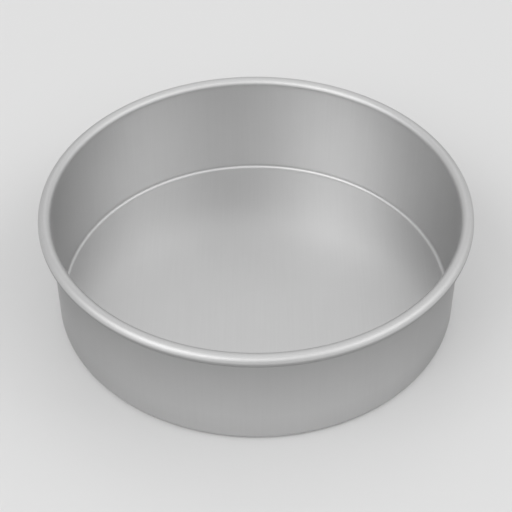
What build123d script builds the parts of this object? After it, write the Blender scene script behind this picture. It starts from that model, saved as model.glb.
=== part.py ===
"""Round deep cake tin: one drawn aluminium shell, its rim rolled outwards round a steel wire.

All sizes are in millimetres. The tin stands on the XY plane, with +Z up through the centre of
its base. Both pieces are turned shapes, so each is drawn once as a half section and revolved.
"""

import os
from math import acos, cos, degrees, radians, sin, tan

from build123d import *

# The tin as it is bought: clear width of the mouth, and height from the table to the rim's top.
mouth_diameter = 250.0
overall_height = 75.0

# The sheet that the shell is pressed from, and the shape that the press gives it.
sheet_thickness = 1.2
wall_taper_degrees = 0.5
floor_corner_radius = 2.5

# The wire in the rim, its two cut ends, and how closely the sheet is rolled round it.
wire_diameter = 5.0
wire_clearance = 0.3
wire_end_gap = 2.0
tuck_gap = 0.3

# Angles in degrees: in a half section from the direction away from the axis, in plan from +X.
RIGHT_ANGLE = 90
TOWARDS_AXIS = 180
DOWN = 270
FULL_TURN = 360
BACK_OF_TIN = 90

# The roll is a round tube of sheet. Its inner side carries straight on from the wall's inside.
taper = radians(wall_taper_degrees)
wire_radius = wire_diameter / 2
roll_bore_radius = wire_radius + wire_clearance
roll_radius = roll_bore_radius + sheet_thickness
roll_centre = (
    mouth_diameter / 2 + roll_radius * cos(taper),
    overall_height - roll_radius,
)
roll_start_angle = TOWARDS_AXIS - wall_taper_degrees

# The sheet goes round the wire until its cut edge is the tuck gap away from the wall's outside.
open_angle = degrees(acos((roll_bore_radius - tuck_gap) / roll_radius))
roll_wrap_angle = FULL_TURN - open_angle

# The corner between wall and base: both faces of the sheet bend about one centre.
base_corner_radius = floor_corner_radius + sheet_thickness
wall_start_height = roll_centre[1] + roll_radius * sin(taper)
wall_radius_at_corner = mouth_diameter / 2 - (wall_start_height - base_corner_radius) * tan(taper)
corner_centre = (
    wall_radius_at_corner - floor_corner_radius / cos(taper),
    base_corner_radius,
)
corner_bend_angle = RIGHT_ANGLE - wall_taper_degrees


def roll_arc(radius):
    """One face of the rolled sheet, from the top of the wall, over the wire and under it."""
    return CenterArc(roll_centre, radius, roll_start_angle, -roll_wrap_angle)


def corner_arc(radius):
    """One face of the sheet in the corner, from the base out to the foot of the wall."""
    return CenterArc(corner_centre, radius, DOWN, corner_bend_angle)


def shell_section():
    """Half section of the sheet: base, corner, tapered wall and rolled rim, of one thickness."""
    with BuildSketch(Plane.XZ) as section:
        with BuildLine():
            roll_outside = roll_arc(roll_radius)
            roll_inside = roll_arc(roll_bore_radius)
            corner_inside = corner_arc(floor_corner_radius)
            corner_outside = corner_arc(base_corner_radius)
            floor_centre = (0, sheet_thickness)
            underside_centre = (0, 0)
            Line(floor_centre, corner_inside @ 0)
            Line(corner_inside @ 1, roll_outside @ 0)
            Line(roll_outside @ 1, roll_inside @ 1)
            Line(roll_inside @ 0, corner_outside @ 1)
            Line(corner_outside @ 0, underside_centre)
            Line(underside_centre, floor_centre)
        make_face()
    return section.sketch


def pan_shell():
    """The drawn shell: flat base, tapered wall, and the rim rolled out, over and back under."""
    with BuildPart() as shell:
        add(shell_section())
        revolve(axis=Axis.Z)
    return shell.part


def rim_wire():
    """The wire in the roll, bent to a ring whose two cut ends nearly meet at the tin's back."""
    gap_angle = degrees(wire_end_gap / roll_centre[0])
    with BuildPart() as wire:
        with BuildSketch(Plane.XZ):
            with Locations(roll_centre):
                Circle(wire_radius)
        revolve(axis=Axis.Z, revolution_arc=FULL_TURN - gap_angle)
    return Rot(Z=BACK_OF_TIN + gap_angle / 2) * wire.part


def main():
    """Writes each piece to its own file, named after the piece."""
    os.makedirs("parts", exist_ok=True)
    pieces = {"pan_shell": pan_shell(), "rim_wire": rim_wire()}
    for name, piece in pieces.items():
        export_step(piece, f"parts/{name}.step")


main()
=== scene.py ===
"""Looks of the round cake tin: satin aluminium, turned finely enough to mirror soft light evenly.

Lengths are in metres, in the part's own frame: +Z up through the tin's centre, underside at zero.
"""

from math import acos, cos, pi, radians, sin, tan

import bmesh
import bpy
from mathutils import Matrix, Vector


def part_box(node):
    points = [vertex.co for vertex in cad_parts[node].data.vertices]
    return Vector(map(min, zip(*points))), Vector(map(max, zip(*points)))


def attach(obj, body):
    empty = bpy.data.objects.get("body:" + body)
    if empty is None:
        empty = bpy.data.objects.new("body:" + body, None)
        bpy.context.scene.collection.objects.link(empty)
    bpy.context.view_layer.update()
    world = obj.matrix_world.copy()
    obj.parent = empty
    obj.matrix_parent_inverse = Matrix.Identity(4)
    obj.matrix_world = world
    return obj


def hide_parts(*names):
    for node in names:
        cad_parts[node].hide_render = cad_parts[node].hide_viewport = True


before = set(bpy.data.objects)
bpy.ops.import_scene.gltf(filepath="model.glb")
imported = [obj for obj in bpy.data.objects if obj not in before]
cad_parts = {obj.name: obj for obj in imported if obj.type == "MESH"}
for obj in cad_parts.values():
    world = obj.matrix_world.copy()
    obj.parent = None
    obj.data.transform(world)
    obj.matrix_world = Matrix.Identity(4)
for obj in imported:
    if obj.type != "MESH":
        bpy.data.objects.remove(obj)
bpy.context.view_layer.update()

MM = 0.001
FULL_TURN = radians(360)
RIGHT_ANGLE = radians(90)

# The shell's sheet and its bends. The height and the rim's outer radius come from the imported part.
sheet_thickness = 1.2 * MM
roll_radius = 4.0 * MM
tuck_gap = 0.3 * MM
floor_corner_radius = 2.5 * MM
wall_taper = radians(0.5)

# How finely the shell is turned, and the narrow faces beside each bend that keep flats flat.
turn_steps = 256
roll_steps = 48
corner_steps = 16
edge_band = 0.4 * MM
merge_distance = 0.001 * MM
sharp_edge = radians(40)

# The photograph's camera: how far it stands from a point on the tin's axis, and how steeply.
camera_distance = 0.9019
camera_elevation = radians(42.67)
camera_aim_height = 0.0296
camera_lens_mm = 100.18
camera_sensor_mm = 36.0

# The softboxes: round, all facing a point in the tin from the same distance. Each ring has its
# height above the horizon, its diameter, the turn between neighbours, and each one's radiance,
# counted from the camera's side to the right. A radiance of 1 is as bright as white paper, and
# one of 0 leaves that place in the ring empty.
lamp_distance = 5.2
lamp_aim_height = 0.05
lamp_rings = (
    (18, 3.2, 45, (0.00, 0.50, 0.47, 0.25, 0.30, 0.24, 0.18, 0.97)),
    (45, 3.6, 30, (0.40, 0.37, 0.68, 0.53, 0.33, 0.06, 0.15, 0.13, 0.00, 0.43, 1.06, 0.89)),
)

# Single softboxes: azimuth from the camera's side, height above the horizon, diameter, radiance.
key_lamps = (
    (180, 66, 3.2, 0.30),
    (0, 90, 3.2, 0.52),
    (180, 55, 1.8, 0.27),
    (72, 46, 2.0, 0.55),
    (290, 48, 2.0, 0.17),
    (330, 48, 2.0, 0.26),
)

# The even light from all round, and the floor.
surround_strength = 0.50
floor_colour = "#DDDDDD"
floor_radius = 4.0
floor_sides = 96

# The metal's tones and gloss. Blender's noise keeps mostly between the two noise levels.
inside_tone = "#D3D3D3"
shade_colour = "#FBFBFB"
glancing_tint = "#DADADA"
metal_roughness = 0.40
roughness_swing = 0.02
noise_low = 0.3
noise_high = 0.7

# The outside's painted shade by height: the whole outside is painted darker than the inside, palest
# at the foot and darkest towards the roll and on its underside, where the roll shades the wall.
foot_middle_radius = 125 * MM
tone_height = 75 * MM
outside_painted_shade = (
    (0 * MM, "#CECECE"),
    (20 * MM, "#CDCDCD"),
    (33 * MM, "#C6C6C6"),
    (49 * MM, "#BBBBBB"),
    (58 * MM, "#B4B4B4"),
    (67 * MM, "#AEAEAE"),
    (71 * MM, "#ACACAC"),
    (72.2 * MM, "#D3D3D3"),
)

# Bending stretches the sheet, which coarsens its grain, so the roll and the corner are duller.
# The rise comes in over these heights, and in the corner over these distances from the axis too.
roll_roughness_rise = 0.09
roll_starts = 68 * MM
roll_full = 72 * MM
corner_roughness_rise = 0.05
corner_full = 3.2 * MM
corner_clear = 5.0 * MM
corner_starts = 121.4 * MM
corner_reached = 122.2 * MM

# The etch's real grain is about 0.05 mm, and the press's and the mill's lines are about 0.1 mm
# apart. All are too fine to show, so they are drawn coarser.
etch_grain = 0.8 * MM
grain_depth = 0.002 * MM
draw_line_spacing = 1.6 * MM
mill_line_spacing = 1.2 * MM
line_stretch = 50
line_depth = 0.0015 * MM
wall_radius = 125 * MM
wall_lines_from = 121 * MM
wall_lines_full = 123 * MM
cloud_size = 30 * MM

# Specks in the oxide: how far apart they could be, how large they are, and how many are kept.
speck_spacing = 24 * MM
speck_radius = 0.5 * MM
speck_share = 0.3
speck_colour = "#969696"

# The wire's lines, its two greys, and its roughness. Real die lines are finer than 0.4 mm.
die_line_spacing = 0.4 * MM
die_line_depth = 0.004 * MM
wire_tones = ("#8E8E90", "#A6A6A8")
wire_roughness = (0.25, 0.35)


def linear_colour(hex_colour):
    """An sRGB hex colour as the linear red, green, blue and alpha that shaders take."""
    parts = [int(hex_colour[i:i + 2], 16) / 255 for i in (1, 3, 5)]
    linear = [p / 12.92 if p <= 0.04045 else ((p + 0.055) / 1.055) ** 2.4 for p in parts]
    return (*linear, 1.0)


def add_node(tree, kind, settings=None, inputs=None):
    """Adds a node of a kind, sets its settings, and sets or links its inputs."""
    node = tree.nodes.new(kind)
    for name, value in (settings or {}).items():
        setattr(node, name, value)
    for name, value in (inputs or {}).items():
        if isinstance(value, bpy.types.NodeSocket):
            tree.links.new(value, node.inputs[name])
        else:
            node.inputs[name].default_value = value
    return node


def new_material(name):
    """An empty node material, its tree, and its output node."""
    material = bpy.data.materials.new(name)
    material.use_nodes = True
    tree = material.node_tree
    tree.nodes.clear()
    return material, tree, tree.nodes.new("ShaderNodeOutputMaterial")


def sheet_lines(tree, place, flat_place, radius):
    """Faint lines: up the wall from the press, and straight across the base from the mill."""
    # Places round the wall count fully, and heights hardly, so the wall's lines run upwards.
    direction = add_node(tree, "ShaderNodeVectorMath", {"operation": "NORMALIZE"}, {
        0: flat_place}).outputs["Vector"]
    round_place = add_node(tree, "ShaderNodeVectorMath", {"operation": "SCALE"}, {
        0: direction, "Scale": wall_radius}).outputs["Vector"]
    wall_place = add_node(tree, "ShaderNodeVectorMath", {"operation": "MULTIPLY_ADD"}, {
        0: place, 1: (0, 0, 1 / line_stretch), 2: round_place}).outputs["Vector"]
    draw_lines = add_node(tree, "ShaderNodeTexNoise", inputs={
        "Vector": wall_place, "Scale": 1 / draw_line_spacing, "Detail": 3, "Roughness": 0.6,
    }).outputs["Fac"]

    # The base's lines run from front to back, as if the sheet had been rolled that way.
    base_place = add_node(tree, "ShaderNodeVectorMath", {"operation": "MULTIPLY"}, {
        0: place, 1: (1, 1 / line_stretch, 0)}).outputs["Vector"]
    mill_lines = add_node(tree, "ShaderNodeTexNoise", inputs={
        "Vector": base_place, "Scale": 1 / mill_line_spacing, "Detail": 2, "Roughness": 0.5,
    }).outputs["Fac"]

    on_wall = add_node(tree, "ShaderNodeMapRange", {"interpolation_type": "SMOOTHSTEP"}, {
        "Value": radius, "From Min": wall_lines_from, "From Max": wall_lines_full,
    }).outputs["Result"]
    return add_node(tree, "ShaderNodeMix", {"data_type": "FLOAT"}, {
        "Factor": on_wall, "A": mill_lines, "B": draw_lines}).outputs["Result"]


def oxide_specks(tree, place):
    """Where a speck is: one small spot in each cell of a coarse pattern, kept in a few cells."""
    cells = add_node(tree, "ShaderNodeTexVoronoi", inputs={
        "Vector": place, "Scale": 1 / speck_spacing})
    spot = add_node(tree, "ShaderNodeMapRange", {"interpolation_type": "SMOOTHSTEP"}, {
        "Value": cells.outputs["Distance"], "From Min": speck_radius / speck_spacing,
        "From Max": 0, "To Min": 0, "To Max": 1}).outputs["Result"]
    lot = add_node(tree, "ShaderNodeSeparateColor", inputs={
        "Color": cells.outputs["Color"]}).outputs["Red"]
    kept = add_node(tree, "ShaderNodeMath", {"operation": "LESS_THAN"}, {
        0: lot, 1: speck_share}).outputs["Value"]
    return add_node(tree, "ShaderNodeMath", {"operation": "MULTIPLY"}, {
        0: spot, 1: kept}).outputs["Value"]


def tone_and_painted_shade(tree, height, radius):
    """The metal's plain tone: even inside, and on the outside painted shade that darkens towards the
    roll.
    """
    # The outside is all that lies beyond the middle of the sheet, which leans by the taper.
    sheet_middle = add_node(tree, "ShaderNodeMath", {"operation": "MULTIPLY_ADD"}, {
        0: height, 1: tan(wall_taper), 2: foot_middle_radius}).outputs["Value"]
    beyond_middle = add_node(tree, "ShaderNodeMath", {"operation": "SUBTRACT"}, {
        0: radius, 1: sheet_middle}).outputs["Value"]
    outside = add_node(tree, "ShaderNodeMapRange", {"interpolation_type": "SMOOTHSTEP"}, {
        "Value": beyond_middle, "From Min": 0, "From Max": sheet_thickness / 2,
    }).outputs["Result"]

    # A new ramp has its first and last stops, so only the ones between are added.
    height_share = add_node(tree, "ShaderNodeMapRange", inputs={
        "Value": height, "From Min": 0, "From Max": tone_height}).outputs["Result"]
    # The outside's painted shade: a ramp of darker tones by height, darkest under the roll.
    painted_shade_ramp = add_node(tree, "ShaderNodeValToRGB", inputs={"Fac": height_share})
    stops = painted_shade_ramp.color_ramp.elements
    for tone_at, _ in outside_painted_shade[1:-1]:
        stops.new(tone_at / tone_height)
    for stop, (tone_at, tone_colour) in zip(stops, outside_painted_shade):
        stop.position = tone_at / tone_height
        stop.color = linear_colour(tone_colour)
    return add_node(tree, "ShaderNodeMix", {"data_type": "RGBA"}, {
        "Factor": outside, "A": linear_colour(inside_tone), "B": painted_shade_ramp.outputs["Color"],
    }).outputs["Result"]


def duller_bends(tree, height, radius, roughness):
    """The roughness, with the roll's and the corner's rise added."""
    roll_rise = add_node(tree, "ShaderNodeMapRange", {"interpolation_type": "SMOOTHSTEP"}, {
        "Value": height, "From Min": roll_starts, "From Max": roll_full,
        "To Min": 0, "To Max": roll_roughness_rise}).outputs["Result"]
    roughness = add_node(tree, "ShaderNodeMath", {"operation": "ADD"}, {
        0: roughness, 1: roll_rise}).outputs["Value"]
    low_rise = add_node(tree, "ShaderNodeMapRange", {"interpolation_type": "SMOOTHSTEP"}, {
        "Value": height, "From Min": corner_clear, "From Max": corner_full,
        "To Min": 0, "To Max": corner_roughness_rise}).outputs["Result"]
    past_flat = add_node(tree, "ShaderNodeMapRange", {"interpolation_type": "SMOOTHSTEP"}, {
        "Value": radius, "From Min": corner_starts, "From Max": corner_reached,
    }).outputs["Result"]
    return add_node(tree, "ShaderNodeMath", {"operation": "MULTIPLY_ADD"}, {
        0: low_rise, 1: past_flat, 2: roughness}).outputs["Value"]


def satin_anodised_aluminium():
    """Drawn aluminium sheet, etched and clear anodised.

    The etch leaves a fine, even grain that spreads the light the same way in all directions, so
    the metal looks pale grey and soft, without a mirror image. The press leaves faint lines up
    the wall, and the rolling mill leaves faint straight ones across the base. The clear oxide
    layer takes off some of the brightness that bare metal has at a glancing angle.
    """
    material, tree, output = new_material("satin_anodised_aluminium")
    place = add_node(tree, "ShaderNodeTexCoord").outputs["Object"]
    height = add_node(tree, "ShaderNodeSeparateXYZ", inputs={"Vector": place}).outputs["Z"]
    flat_place = add_node(tree, "ShaderNodeVectorMath", {"operation": "MULTIPLY"}, {
        0: place, 1: (1, 1, 0)}).outputs["Vector"]
    radius = add_node(tree, "ShaderNodeVectorMath", {"operation": "LENGTH"}, {
        0: flat_place}).outputs["Value"]

    lines = sheet_lines(tree, place, flat_place, radius)
    grain = add_node(tree, "ShaderNodeTexNoise", inputs={
        "Vector": place, "Scale": 1 / etch_grain, "Detail": 2, "Roughness": 0.7}).outputs["Fac"]
    cloud = add_node(tree, "ShaderNodeTexNoise", inputs={
        "Vector": place, "Scale": 1 / cloud_size, "Detail": 3, "Roughness": 0.55}).outputs["Fac"]

    # The oxide is slightly uneven: clouds, the lines once more, and the specks.
    unevenness = add_node(tree, "ShaderNodeMix", {"data_type": "FLOAT"}, {
        "Factor": 0.5, "A": cloud, "B": lines}).outputs["Result"]
    unevenness = add_node(tree, "ShaderNodeMapRange", inputs={
        "Value": unevenness, "From Min": noise_low, "From Max": noise_high}).outputs["Result"]
    shade = add_node(tree, "ShaderNodeMix", {"data_type": "RGBA"}, {
        "Factor": unevenness, "A": linear_colour(shade_colour), "B": (1, 1, 1, 1),
    }).outputs["Result"]
    metal = add_node(tree, "ShaderNodeMix", {"data_type": "RGBA", "blend_type": "MULTIPLY"}, {
        "Factor": 1.0, "A": tone_and_painted_shade(tree, height, radius), "B": shade}).outputs["Result"]
    colour = add_node(tree, "ShaderNodeMix", {"data_type": "RGBA"}, {
        "Factor": oxide_specks(tree, place), "A": metal, "B": linear_colour(speck_colour),
    }).outputs["Result"]

    # The sum of two noises keeps between twice the two levels.
    two_noises = add_node(tree, "ShaderNodeMath", {"operation": "ADD"}, {
        0: grain, 1: cloud}).outputs["Value"]
    roughness = add_node(tree, "ShaderNodeMapRange", inputs={
        "Value": two_noises, "From Min": 2 * noise_low, "From Max": 2 * noise_high,
        "To Min": metal_roughness - roughness_swing, "To Max": metal_roughness + roughness_swing,
    }).outputs["Result"]

    line_bump = add_node(tree, "ShaderNodeBump", inputs={
        "Strength": 1.0, "Distance": line_depth, "Height": lines}).outputs["Normal"]
    grain_bump = add_node(tree, "ShaderNodeBump", inputs={
        "Strength": 1.0, "Distance": grain_depth, "Height": grain, "Normal": line_bump,
    }).outputs["Normal"]
    shader = add_node(tree, "ShaderNodeBsdfPrincipled", inputs={
        "Base Color": colour,
        "Metallic": 1.0,
        "Roughness": duller_bends(tree, height, radius, roughness),
        "Specular Tint": linear_colour(glancing_tint),
        "Normal": grain_bump,
    })
    tree.links.new(shader.outputs["BSDF"], output.inputs["Surface"])
    return material


def drawn_steel_wire():
    """Bright drawn steel wire: a darker grey metal, smoother than the shell, with faint lines.

    The lines run along the wire, where the die has drawn them.
    """
    material, tree, output = new_material("drawn_steel_wire")
    place = add_node(tree, "ShaderNodeTexCoord").outputs["Object"]
    distance = add_node(tree, "ShaderNodeVectorMath", {"operation": "LENGTH"}, {
        0: place}).outputs["Value"]
    height = add_node(tree, "ShaderNodeSeparateXYZ", inputs={"Vector": place}).outputs["Z"]
    across = add_node(tree, "ShaderNodeCombineXYZ", inputs={
        "X": distance, "Z": height}).outputs["Vector"]
    lines = add_node(tree, "ShaderNodeTexNoise", inputs={
        "Vector": across, "Scale": 1 / die_line_spacing, "Detail": 2}).outputs["Fac"]
    colour = add_node(tree, "ShaderNodeMix", {"data_type": "RGBA"}, {
        "Factor": lines, "A": linear_colour(wire_tones[0]), "B": linear_colour(wire_tones[1]),
    }).outputs["Result"]
    roughness = add_node(tree, "ShaderNodeMapRange", inputs={
        "Value": lines, "To Min": wire_roughness[0], "To Max": wire_roughness[1],
    }).outputs["Result"]
    bump = add_node(tree, "ShaderNodeBump", inputs={
        "Strength": 1.0, "Distance": die_line_depth, "Height": lines}).outputs["Normal"]
    shader = add_node(tree, "ShaderNodeBsdfPrincipled", inputs={
        "Base Color": colour,
        "Metallic": 1.0,
        "Roughness": roughness,
        "Normal": bump,
    })
    tree.links.new(shader.outputs["BSDF"], output.inputs["Surface"])
    return material


def draw_line(bm, start, radius, height):
    """Carries the section on from a vertex, straight to a radius and a height."""
    end = bmesh.ops.extrude_vert_indiv(bm, verts=[start])["verts"][0]
    end.co = (radius, 0, height)
    return end


def draw_arc(bm, start, centre, sweep, steps):
    """Carries the section on from a vertex, round a centre: a positive sweep goes from +X to +Z."""
    turned = bmesh.ops.spin(
        bm, geom=[start], cent=(centre[0], 0, centre[1]), axis=(0, -1, 0),
        angle=sweep, steps=steps)
    return [item for item in turned["geom_last"] if isinstance(item, bmesh.types.BMVert)][0]


def shell_section(bm, rim_outer_radius, overall_height):
    """Draws the sheet's half section: up the inside, round the roll, and back down the outside."""
    bore_radius = roll_radius - sheet_thickness
    roll_centre = (rim_outer_radius - roll_radius, overall_height - roll_radius)
    roll_wrap = FULL_TURN - acos((bore_radius - tuck_gap) / roll_radius)
    mouth_radius = roll_centre[0] - roll_radius * cos(wall_taper)
    wall_top_height = roll_centre[1] + roll_radius * sin(wall_taper)

    outer_corner_radius = floor_corner_radius + sheet_thickness
    wall_foot_radius = mouth_radius - (wall_top_height - outer_corner_radius) * tan(wall_taper)
    flat_radius = wall_foot_radius - floor_corner_radius / cos(wall_taper)
    corner_centre = (flat_radius, outer_corner_radius)
    corner_bend = RIGHT_ANGLE - wall_taper
    outer_foot = (
        corner_centre[0] + outer_corner_radius * cos(wall_taper),
        corner_centre[1] - outer_corner_radius * sin(wall_taper),
    )
    band_height = edge_band * cos(wall_taper)
    band_width = edge_band * sin(wall_taper)

    # The inside: the floor, the corner, and the wall.
    vert = bm.verts.new((0, 0, sheet_thickness))
    vert = draw_line(bm, vert, flat_radius - edge_band, sheet_thickness)
    vert = draw_line(bm, vert, flat_radius, sheet_thickness)
    vert = draw_arc(bm, vert, corner_centre, corner_bend, corner_steps)
    vert = draw_line(bm, vert, vert.co.x + band_width, vert.co.z + band_height)
    vert = draw_line(bm, vert, mouth_radius - band_width, wall_top_height - band_height)
    vert = draw_line(bm, vert, mouth_radius, wall_top_height)

    # The roll: its outer face, the sheet's cut edge, and its bore.
    vert = draw_arc(bm, vert, roll_centre, -roll_wrap, roll_steps)
    cut = Vector((roll_centre[0], 0, roll_centre[1])).lerp(vert.co, bore_radius / roll_radius)
    vert = draw_line(bm, vert, cut.x, cut.z)
    vert = draw_arc(bm, vert, roll_centre, roll_wrap, roll_steps)

    # The outside: the wall, the corner, and the underside.
    vert = draw_line(bm, vert, vert.co.x - band_width, vert.co.z - band_height)
    vert = draw_line(bm, vert, outer_foot[0] + band_width, outer_foot[1] + band_height)
    vert = draw_line(bm, vert, *outer_foot)
    vert = draw_arc(bm, vert, corner_centre, -corner_bend, corner_steps)
    vert = draw_line(bm, vert, flat_radius - edge_band, 0)
    draw_line(bm, vert, 0, 0)


def turned_shell(material):
    """The shell as one turned mesh, in place of the CAD model's coarser one."""
    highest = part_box("pan_shell")[1]
    bm = bmesh.new()
    shell_section(bm, highest[0], highest[2])
    bmesh.ops.spin(
        bm, geom=bm.verts[:] + bm.edges[:], cent=(0, 0, 0), axis=(0, 0, 1),
        angle=FULL_TURN, steps=turn_steps, use_merge=True)
    bmesh.ops.remove_doubles(bm, verts=bm.verts[:], dist=merge_distance)
    bmesh.ops.recalc_face_normals(bm, faces=bm.faces[:])
    for face in bm.faces:
        face.smooth = True
    for edge in bm.edges:
        if edge.calc_face_angle(0) > sharp_edge:
            edge.smooth = False
    mesh = bpy.data.meshes.new("tin_shell")
    bm.to_mesh(mesh)
    bm.free()
    mesh.materials.append(material)
    shell = bpy.data.objects.new("tin_shell", mesh)
    bpy.context.scene.collection.objects.link(shell)
    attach(shell, "root")
    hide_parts("pan_shell")


def paint_node(name, material):
    """Gives a CAD node its material."""
    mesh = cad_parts[name].data
    mesh.materials.clear()
    mesh.materials.append(material)


def studio_floor():
    """A plain pale floor, large enough to fill the view."""
    material, tree, output = new_material("pale_floor")
    shader = add_node(tree, "ShaderNodeBsdfDiffuse", inputs={
        "Color": linear_colour(floor_colour)})
    tree.links.new(shader.outputs["BSDF"], output.inputs["Surface"])
    bm = bmesh.new()
    bmesh.ops.create_circle(bm, cap_ends=True, segments=floor_sides, radius=floor_radius)
    mesh = bpy.data.meshes.new("studio_floor")
    bm.to_mesh(mesh)
    bm.free()
    mesh.materials.append(material)
    floor = bpy.data.objects.new("studio_floor", mesh)
    bpy.context.scene.collection.objects.link(floor)


def studio_world():
    """An even pale surround."""
    world = bpy.data.worlds.new("studio_surround")
    world.use_nodes = True
    tree = world.node_tree
    tree.nodes.clear()
    background = add_node(tree, "ShaderNodeBackground", inputs={
        "Color": (1, 1, 1, 1), "Strength": surround_strength})
    output = tree.nodes.new("ShaderNodeOutputWorld")
    tree.links.new(background.outputs["Background"], output.inputs["Surface"])
    bpy.context.scene.world = world


def softbox(azimuth, elevation, diameter, radiance):
    """A round softbox that faces the tin, at angles in degrees from the camera's side."""
    direction = Vector((
        sin(radians(azimuth)) * cos(radians(elevation)),
        -cos(radians(azimuth)) * cos(radians(elevation)),
        sin(radians(elevation)),
    ))
    lamp = bpy.data.lights.new("softbox", "AREA")
    lamp.shape = "DISK"
    lamp.size = diameter
    disc_area = pi * (diameter / 2) ** 2
    lamp.energy = radiance * pi * disc_area
    holder = bpy.data.objects.new("softbox", lamp)
    holder.location = Vector((0, 0, lamp_aim_height)) + direction * lamp_distance
    holder.rotation_euler = direction.to_track_quat("Z", "Y").to_euler()
    bpy.context.scene.collection.objects.link(holder)


def studio_lights():
    """The rings of softboxes, and the few single ones that give the highlights."""
    for elevation, diameter, turn, radiances in lamp_rings:
        for place, radiance in enumerate(radiances):
            if radiance > 0:
                softbox(place * turn, elevation, diameter, radiance)
    for azimuth, elevation, diameter, radiance in key_lamps:
        softbox(azimuth, elevation, diameter, radiance)


def photo_camera():
    """The camera at the photograph's viewing angle, aimed at a point on the tin's axis."""
    data = bpy.data.cameras.new("photo_camera")
    data.sensor_width = camera_sensor_mm
    data.lens = camera_lens_mm
    camera = bpy.data.objects.new("photo_camera", data)
    camera.location = (
        0,
        -camera_distance * cos(camera_elevation),
        camera_aim_height + camera_distance * sin(camera_elevation),
    )
    camera.rotation_euler = (RIGHT_ANGLE - camera_elevation, 0, 0)
    bpy.context.scene.collection.objects.link(camera)
    bpy.context.scene.camera = camera


bpy.context.scene.view_settings.view_transform = "Standard"
photo_camera()
studio_world()
studio_lights()
studio_floor()
turned_shell(satin_anodised_aluminium())
paint_node("rim_wire", drawn_steel_wire())
